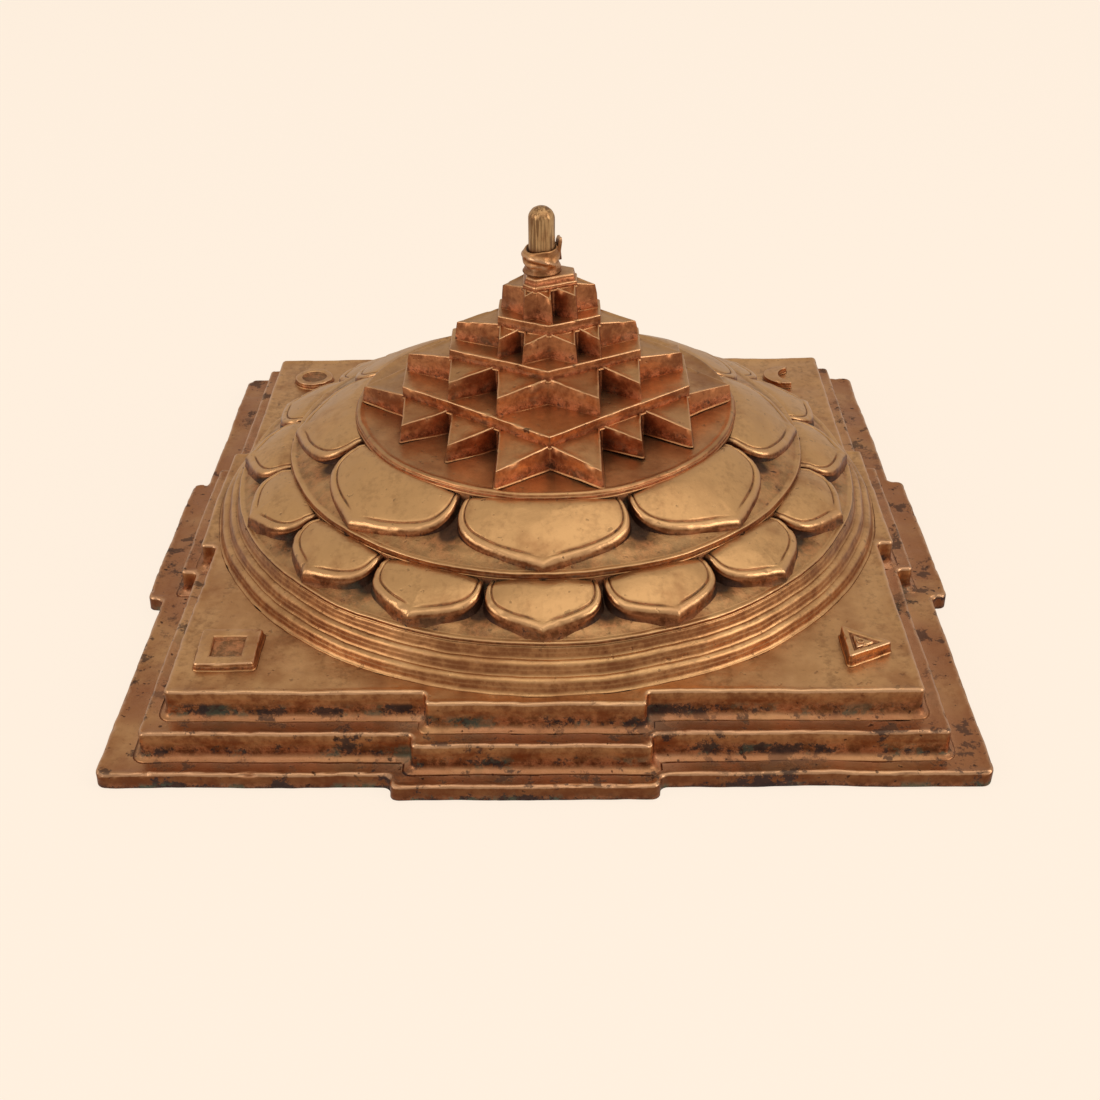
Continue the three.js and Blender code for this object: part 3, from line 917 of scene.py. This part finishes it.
def triangle_seal():
    """Inside the frame stands a smaller triangle with a tiny ring on it."""
    node = "corner_seal_triangle"
    low, high = box_mm(node)
    top = high[2]
    centre = np.array([low[0] + (high[0] - low[0]) / 3, (low[1] + high[1]) / 2])
    frame_line = Outline(regular(3, TRIANGLE_SEAL_RADIUS, 0), radius=0.5, spacing=0.5)
    shell = seal_shell(node, frame_line, 1.15, centre)
    floor = top - SEAL_RECESS - 0.3
    island = Outline(regular(3, TRIANGLE_ISLAND_RADIUS, 0), radius=0.3, spacing=0.3)
    wall = cast_wall(floor, top - 0.1, foot=0.15, edge=0.25, draft=0.2, over_top=0)
    shell.flat_loft(island, wall, centre)
    tiny_ring = [
        (0.0, floor, 0.6, 0.0),
        (0.02, top + 0.02, 0.6, 0.0),
        (0.12, top + 0.1, 0.6, 0.0),
        (0.3, top + 0.08, 0.6, 0.0),
        (0.4, top - 0.12, 0.0, 1.0),
    ]
    shell.flat_loft(Circle(TINY_RING_RADIUS, 24), tiny_ring, centre - np.array([0.15, 0.0]))
    piece(shell, node, amount=1.2)


def round_seal():
    node = "corner_seal_round"
    piece(seal_shell(node, Circle(ROUND_SEAL_RADIUS, 64), 1.5, middle_of(node)), node, amount=1.6)


def crescent_seal():
    """The band between two circles, with its horns cut blunt."""
    node = "corner_seal_crescent"
    low, high = box_mm(node)
    centre = (low[0] + CRESCENT_RADIUS, (low[1] + high[1]) / 2)

    def at(radius, angle):
        return (radius * math.cos(angle), radius * math.sin(angle))

    def inner_radius(angle):
        across = CRESCENT_SHIFT * math.sin(angle)
        return CRESCENT_SHIFT * math.cos(angle) + math.sqrt(max(CRESCENT_BITE**2 - across**2, 0.0))

    first, last = (math.radians(angle) for angle in CRESCENT_HORNS_DEG)
    angles = np.linspace(first, last, 40)
    band = [at(CRESCENT_RADIUS, angle) for angle in angles]
    band += [at(inner_radius(angle), angle) for angle in angles[::-1]]
    outline = Outline(band, radius=0.1, spacing=1.0, arc_steps=2)
    wall = cast_wall(low[2], high[2], foot=0.15, edge=0.18, draft=0.05, over_top=0)
    piece(Shell().flat_loft(outline, wall, centre), node, amount=0.8)


square_seal()
triangle_seal()
round_seal()
crescent_seal()

# Shader helpers


class Shade:
    """A shader socket that can be used in sums and products."""

    def __init__(self, finish, socket):
        self.finish = finish
        self.socket = socket

    def maths(self, operation, *values):
        return self.finish.node("ShaderNodeMath", {"operation": operation}, values)

    def __add__(self, other):
        return self.maths("ADD", self, other)

    def __radd__(self, other):
        return self.maths("ADD", other, self)

    def __sub__(self, other):
        return self.maths("SUBTRACT", self, other)

    def __rsub__(self, other):
        return self.maths("SUBTRACT", other, self)

    def __mul__(self, other):
        return self.maths("MULTIPLY", self, other)

    def __rmul__(self, other):
        return self.maths("MULTIPLY", other, self)

    def clamped(self):
        return self.finish.node("ShaderNodeClamp", {}, (self, 0.0, 1.0))


class Finish:
    """A material whose nodes are all made by one method."""

    def __init__(self, name):
        self.material = bpy.data.materials.new(name)
        self.material.use_nodes = True
        self.nodes = self.material.node_tree.nodes
        self.links = self.material.node_tree.links
        self.surface = self.nodes["Principled BSDF"]

    def node(self, kind, settings, inputs, output=0):
        """A new node's output. inputs holds values or links by the name or number of a socket."""
        made = self.nodes.new(kind)
        for key, value in settings.items():
            setattr(made, key, value)
        pairs = inputs.items() if isinstance(inputs, dict) else enumerate(inputs)
        for key, value in pairs:
            self.feed(made.inputs[key], value)
        return Shade(self, made.outputs[output])

    def feed(self, socket, value):
        if isinstance(value, Shade):
            self.links.new(value.socket, socket)
        else:
            socket.default_value = value

    def mix(self, share, first, second):
        """The first colour where share is 0, the second where it is 1."""
        settings = {"data_type": "RGBA", "clamp_factor": True}
        return self.node("ShaderNodeMix", settings, {0: share, 6: first, 7: second}, output=2)

    def noise(self, scale, detail=3.0, roughness=0.5, stretch=None):
        """Scale counts patches in a metre, and stretch is a scale for each axis on top of it."""
        where = self.node("ShaderNodeTexCoord", {}, {}, output=3)
        if stretch:
            where = self.node("ShaderNodeMapping", {}, {0: where, 3: stretch})
        inputs = {"Vector": where, "Scale": scale, "Detail": detail, "Roughness": roughness}
        return self.node("ShaderNodeTexNoise", {}, inputs)

    def band(self, value, low, high):
        """0 below low, 1 above high, smooth between."""
        settings = {"interpolation_type": "SMOOTHSTEP"}
        return self.node("ShaderNodeMapRange", settings, {0: value, 1: low, 2: high, 3: 0.0, 4: 1.0})

    def below(self, height, level, blur):
        """1 below a level in millimetres, 0 above it, blurred by as much on either side."""
        return self.band(height, (level + blur) * MM, (level - blur) * MM)

    def openness(self, reach):
        """Ambient occlusion: 1 in the open, less where faces stand within a reach in millimetres."""
        inputs = {"Distance": reach * MM}
        return self.node("ShaderNodeAmbientOcclusion", {"samples": 4}, inputs, output=1)

    def attribute(self, name):
        """A number that the mesh holds at each point."""
        return self.node("ShaderNodeAttribute", {"attribute_name": name}, {}, output=2)

    def bump(self, height, strength, distance, normal=None):
        inputs = {"Strength": strength, "Distance": distance, "Height": height}
        if normal:
            inputs["Normal"] = normal
        return self.node("ShaderNodeBump", {}, inputs)


def colour(red, green, blue):
    """A display colour, 0 to 255, as linear red, green, blue and alpha."""
    parts = []
    for value in (red, green, blue):
        share = value / 255
        parts.append(share / 12.92 if share <= 0.04045 else ((share + 0.055) / 1.055) ** 2.4)
    return (*parts, 1.0)


def bronze(name, tops, walls, crumbly, worn, gold, stains_and_ledge_light):
    """Old cast bronze. tops and walls are pairs of colours between which flat and upright faces
    wander, crumbly is the two colours of rough feet and worn that of rubbed edges. gold is how
    far the high faces are rubbed. The last argument sets how dark and green the low places are,
    and how strongly painted light brightens the low ledges that lie in hollows."""
    finish = Finish(name)
    place = finish.node("ShaderNodeTexCoord", {}, {}, output=3)
    height = finish.node("ShaderNodeSeparateXYZ", {}, {0: place}, output=2)
    facing = finish.node("ShaderNodeNewGeometry", {}, {}, output=1)
    upward = finish.node("ShaderNodeSeparateXYZ", {}, {0: facing}, output=2)
    near = finish.openness(1.6)
    wide = finish.openness(7.0)
    wear = finish.attribute("wear")
    grime_and_shade = finish.attribute("grime_and_shade")

    broad = finish.noise(45, 3)
    cloudy = finish.noise(150, 5, 0.62)
    fine = finish.noise(900, 4, 0.65)
    crumbs = finish.noise(420, 5, 0.75)
    streaks = finish.noise(260, 3, 0.6, (1.0, 0.22, 1.0))
    flat = finish.band(upward, 0.3, 0.85)
    low_down = finish.below(height, LEDGES_BELOW, 0.5)
    lowest = finish.below(height, LOWEST_BELOW, 0.3)
    sunk = finish.band(wide + cloudy * 0.3, 0.95, 0.45)
    low_ledge = flat * low_down

    # Flat faces: two colours that wander, rubbed yellower in places and tanned in others
    skin = finish.mix(finish.band(cloudy, 0.35, 0.68), tops[0], tops[1])
    rubbed = finish.band(broad * 0.6 + streaks * 0.4 + gold, 0.45, 1.0)
    skin = finish.mix(rubbed * 0.8, skin, colour(232, 184, 126))
    tanned = finish.band(finish.noise(70, 5, 0.6), 0.5, 0.68)
    skin = finish.mix(tanned * 0.5, skin, colour(150, 92, 54))
    scuffs = finish.band(fine * 0.5 + streaks * 0.5, 0.48, 0.66) * (0.2 + 0.22 * stains_and_ledge_light)
    skin = finish.mix(scuffs, skin, colour(112, 62, 34))
    redder = low_down * finish.band(broad, 0.3, 0.55) * 0.75 * stains_and_ledge_light
    skin = finish.mix(redder, skin, colour(160, 98, 64))

    # Upright faces, and the places that hands do not reach: walls darker low down, hollows redder, flat
    # faces in hollows darker, and painted light on the low ledges in hollows
    upright = finish.mix(finish.band(cloudy * 0.6 + fine * 0.4, 0.38, 0.62), walls[0], walls[1])
    upright = finish.mix(lowest * 0.6 * stains_and_ledge_light, upright, colour(118, 62, 34))
    skin = finish.mix(flat, upright, skin)
    skin = finish.mix(sunk * 0.3, skin, colour(158, 82, 48))
    skin = finish.mix(flat * (1 - low_down) * sunk * 0.55 * stains_and_ledge_light, skin, colour(84, 60, 42))
    # Painted light: the low ledges that lie in hollows are made pale, as if lit, against the shade
    # there
    skin = finish.mix(low_ledge * sunk * 0.9 * stains_and_ledge_light, skin, colour(252, 200, 156))

    # Rough feet, soot and painted shade in corners and hollows, and bright edges
    rough_cast = finish.band(grime_and_shade + cloudy * 0.8 - 0.4, 0.2, 0.75)
    skin = finish.mix(rough_cast * 0.65, skin, finish.mix(finish.band(crumbs, 0.4, 0.6), *crumbly))
    # Painted shade: near black where the ambient occlusion finds creases, with soot specks in the rough
    # feet
    corners = finish.band(near + fine * 0.5, 0.8, 0.35)
    soot_and_painted_shade = corners * 0.6 + finish.band(cloudy * 0.5 + crumbs * 0.5, 0.57, 0.63) * rough_cast
    # Painted shade, near black, in the deeper hollows too, mostly kept off the low ledges
    soot_and_painted_shade = soot_and_painted_shade + 0.8 * finish.band(wide + crumbs * 0.6, 0.74, 0.54) * (1 - 0.8 * low_ledge)
    # Near black where the grime value is highest: painted shade at the petals' feet and in the gaps
    # between them, and the seals' recesses
    soot_and_painted_shade = (soot_and_painted_shade + finish.band(grime_and_shade + crumbs * 0.8, 1.25, 1.7)).clamped()
    skin = finish.mix(soot_and_painted_shade * 0.85, skin, colour(36, 22, 18))
    bright = finish.band(wear + fine * 0.8 + cloudy * 0.5 - 0.65, 0.4, 0.95)
    skin = finish.mix(bright * 0.55, skin, worn)

    # Dark patches on the plates, pits everywhere and green where water stood
    patch = finish.band(finish.noise(85, 8, 0.8) + 0.06 * rough_cast, 0.565, 0.6)
    blots = finish.band(finish.noise(135, 6, 0.74), 0.56, 0.6) * flat
    dark = ((patch * (1 - 0.5 * flat) + blots * 0.8) * low_down * stains_and_ledge_light).clamped()
    skin = finish.mix(dark * 0.85, skin, colour(44, 35, 36))
    specks = finish.band(finish.noise(640, 3, 0.5), 0.67, 0.72)
    spots = finish.band(finish.noise(230, 6, 0.6), 0.7, 0.74)
    pits = (specks * (0.4 + low_down * stains_and_ledge_light) + spots).clamped()
    skin = finish.mix(pits * 0.75, skin, colour(40, 26, 24))
    green = finish.band(finish.noise(130, 6, 0.75), 0.52, 0.6)
    ledge = finish.band(grime_and_shade, 0.2, 0.6) + sunk * 0.7
    green = (green * ledge * (low_down * stains_and_ledge_light * (0.3 + 0.9 * flat) + 0.25)).clamped()
    skin = finish.mix(green * 0.8, skin, colour(78, 92, 74))
    finish.feed(finish.surface.inputs["Base Color"], skin)

    # Dirt is rougher than metal, and less metallic; the painted shade is less metallic too, and the low
    # ledges in hollows are rougher and less metallic
    rough = 0.25 + 0.22 * cloudy + 0.25 * dark + 0.12 * rough_cast + 0.2 * green - 0.06 * bright
    rough = rough + 0.3 * low_ledge * sunk + 0.1 * tanned
    finish.feed(finish.surface.inputs["Roughness"], rough.clamped())
    metal = 0.97 - 0.3 * dark - 0.4 * green - 0.3 * soot_and_painted_shade - 0.45 * low_ledge * sunk
    finish.feed(finish.surface.inputs["Metallic"], metal.clamped())

    # Bumps from large to small: hammering, grain and pits, brush marks
    uneven = finish.bump(finish.noise(85, 3), 0.45, 0.0011)
    grain = crumbs * (0.35 + 1.3 * rough_cast) - pits * 0.8 - soot_and_painted_shade * 0.5
    pitted = finish.bump(grain, 0.5, 0.0003, uneven)
    final = finish.bump(streaks + 0.6 * finish.noise(1900, 3), 0.22, 0.00015, pitted)
    finish.feed(finish.surface.inputs["Normal"], final)
    return finish.material


def brass():
    """Yellow brass rod with lengthwise file marks."""
    finish = Finish("filed_brass")
    cloudy = finish.noise(260, 4, 0.6)
    marks = finish.noise(1500, 3, 0.6, (1.0, 1.0, 0.05))
    skin = finish.mix(finish.band(cloudy, 0.3, 0.7), colour(186, 138, 92), colour(224, 182, 128))
    skin = finish.mix(finish.band(marks, 0.48, 0.6) * 0.7, skin, colour(104, 64, 38))
    skin = finish.mix(finish.band(finish.attribute("grime_and_shade"), 0.1, 0.6) * 0.6, skin, colour(110, 66, 40))
    finish.feed(finish.surface.inputs["Base Color"], skin)
    finish.feed(finish.surface.inputs["Roughness"], 0.28 + 0.16 * cloudy)
    finish.surface.inputs["Metallic"].default_value = 0.95
    finish.feed(finish.surface.inputs["Normal"], finish.bump(marks, 0.7, 0.0002))
    return finish.material


plate_metal = bronze(
    "plate_bronze",
    tops=(colour(194, 141, 92), colour(220, 170, 118)),
    walls=(colour(140, 88, 54), colour(190, 134, 86)),
    crumbly=(colour(84, 46, 28), colour(206, 136, 94)),
    worn=colour(236, 188, 146),
    gold=0.2,
    stains_and_ledge_light=1.0,
)
petal_metal = bronze(
    "petal_bronze",
    tops=(colour(158, 107, 65), colour(194, 142, 93)),
    walls=(colour(112, 64, 36), colour(170, 112, 70)),
    crumbly=(colour(76, 40, 22), colour(178, 112, 72)),
    worn=colour(228, 178, 128),
    gold=0.45,
    stains_and_ledge_light=0.2,
)
crown_metal = bronze(
    "crown_bronze",
    tops=(colour(162, 115, 74), colour(196, 148, 102)),
    walls=(colour(142, 84, 52), colour(196, 128, 82)),
    crumbly=(colour(96, 44, 26), colour(224, 138, 96)),
    worn=colour(234, 182, 134),
    gold=0.2,
    stains_and_ledge_light=0.2,
)
pin_metal = brass()
CROWN = ["star_floor_disc", "summit_platform", *TIERS]

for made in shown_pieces():
    node = made.name.removesuffix("_cast")
    if node == "bindu_pin":
        material, slot = pin_metal, "pin_brass"
    elif "petal" in node:
        material, slot = petal_metal, "petal_bronze"
    else:
        material, slot = (crown_metal if node in CROWN else plate_metal), "cast_bronze"
    made.data.materials.clear()
    made.data.materials.append(material)


# Table, light and camera


def table():
    """A pale sheet just under the object, which glows evenly and isn't mirrored in the metal."""
    half, under = TABLE_HALF_M, -TABLE_DROP_M
    corners = [(-half, -half, under), (half, -half, under), (half, half, under), (-half, half, under)]
    mesh = bpy.data.meshes.new("table")
    mesh.from_pydata(corners, [], [(0, 1, 2, 3)])
    top = bpy.data.objects.new("table", mesh)
    bpy.context.scene.collection.objects.link(top)
    finish = Finish("pale_table")
    finish.surface.inputs["Base Color"].default_value = (0.1, 0.088, 0.076, 1.0)
    finish.surface.inputs["Roughness"].default_value = 1.0
    finish.surface.inputs["Specular IOR Level"].default_value = 0.0
    finish.surface.inputs["Emission Color"].default_value = colour(254, 239, 222)
    finish.surface.inputs["Emission Strength"].default_value = TABLE_GLOW
    mesh.materials.append(finish.material)
    top.visible_glossy = False


def room():
    """Even pale light from all around."""
    world = bpy.data.worlds.new("room")
    world.use_nodes = True
    background = world.node_tree.nodes["Background"].inputs
    background["Color"].default_value = colour(255, 246, 236)
    background["Strength"].default_value = ROOM_GLOW
    bpy.context.scene.world = world


def lamp(name, place, target, size, power):
    """A soft rectangular lamp. Places and sizes are in metres, the power in watts."""
    light = bpy.data.lights.new(name, "AREA")
    light.shape = "RECTANGLE"
    light.size, light.size_y = size
    light.energy = power
    light.color = LAMP_TINT
    holder = bpy.data.objects.new(name, light)
    direction = Vector(target) - Vector(place)
    holder.rotation_euler = direction.to_track_quat("-Z", "Y").to_euler()
    holder.location = place
    bpy.context.scene.collection.objects.link(holder)


def camera():
    """Looks at the object from where the photograph was taken."""
    yaw, pitch, roll = (math.radians(a) for a in (YAW_DEG, PITCH_DEG, ROLL_DEG))
    level = Vector((math.cos(yaw), -math.sin(yaw), 0.0))
    ahead = Vector((math.sin(yaw), math.cos(yaw), 0.0))
    forward = ahead * math.cos(pitch) - Vector((0.0, 0.0, math.sin(pitch)))
    upright = level.cross(forward)
    right = math.cos(roll) * level + math.sin(roll) * upright
    up = -math.sin(roll) * level + math.cos(roll) * upright
    eye = bpy.data.cameras.new("camera")
    eye.sensor_width = SENSOR_MM
    eye.lens = FOCAL_PX * SENSOR_MM / PHOTO_PX
    eye.clip_start = NEAREST_M
    holder = bpy.data.objects.new("camera", eye)
    turn = Matrix((right, up, -forward)).transposed()
    holder.matrix_world = Matrix.Translation(Vector(EYE_MM) * MM) @ turn.to_4x4()
    bpy.context.scene.collection.objects.link(holder)
    bpy.context.scene.camera = holder


table()
lamp("overhead", (0.1, -0.12, 0.8), (0, 0, 0), (1.1, 0.5), 1.08)
lamp("left", (-0.75, -0.35, 0.4), (0, 0, 0.02), (0.4, 0.5), 1.4)
lamp("right", (0.75, -0.3, 0.45), (0, 0, 0.02), (0.4, 0.5), 1.9)
room()
bpy.context.scene.view_settings.view_transform = "Standard"
camera()
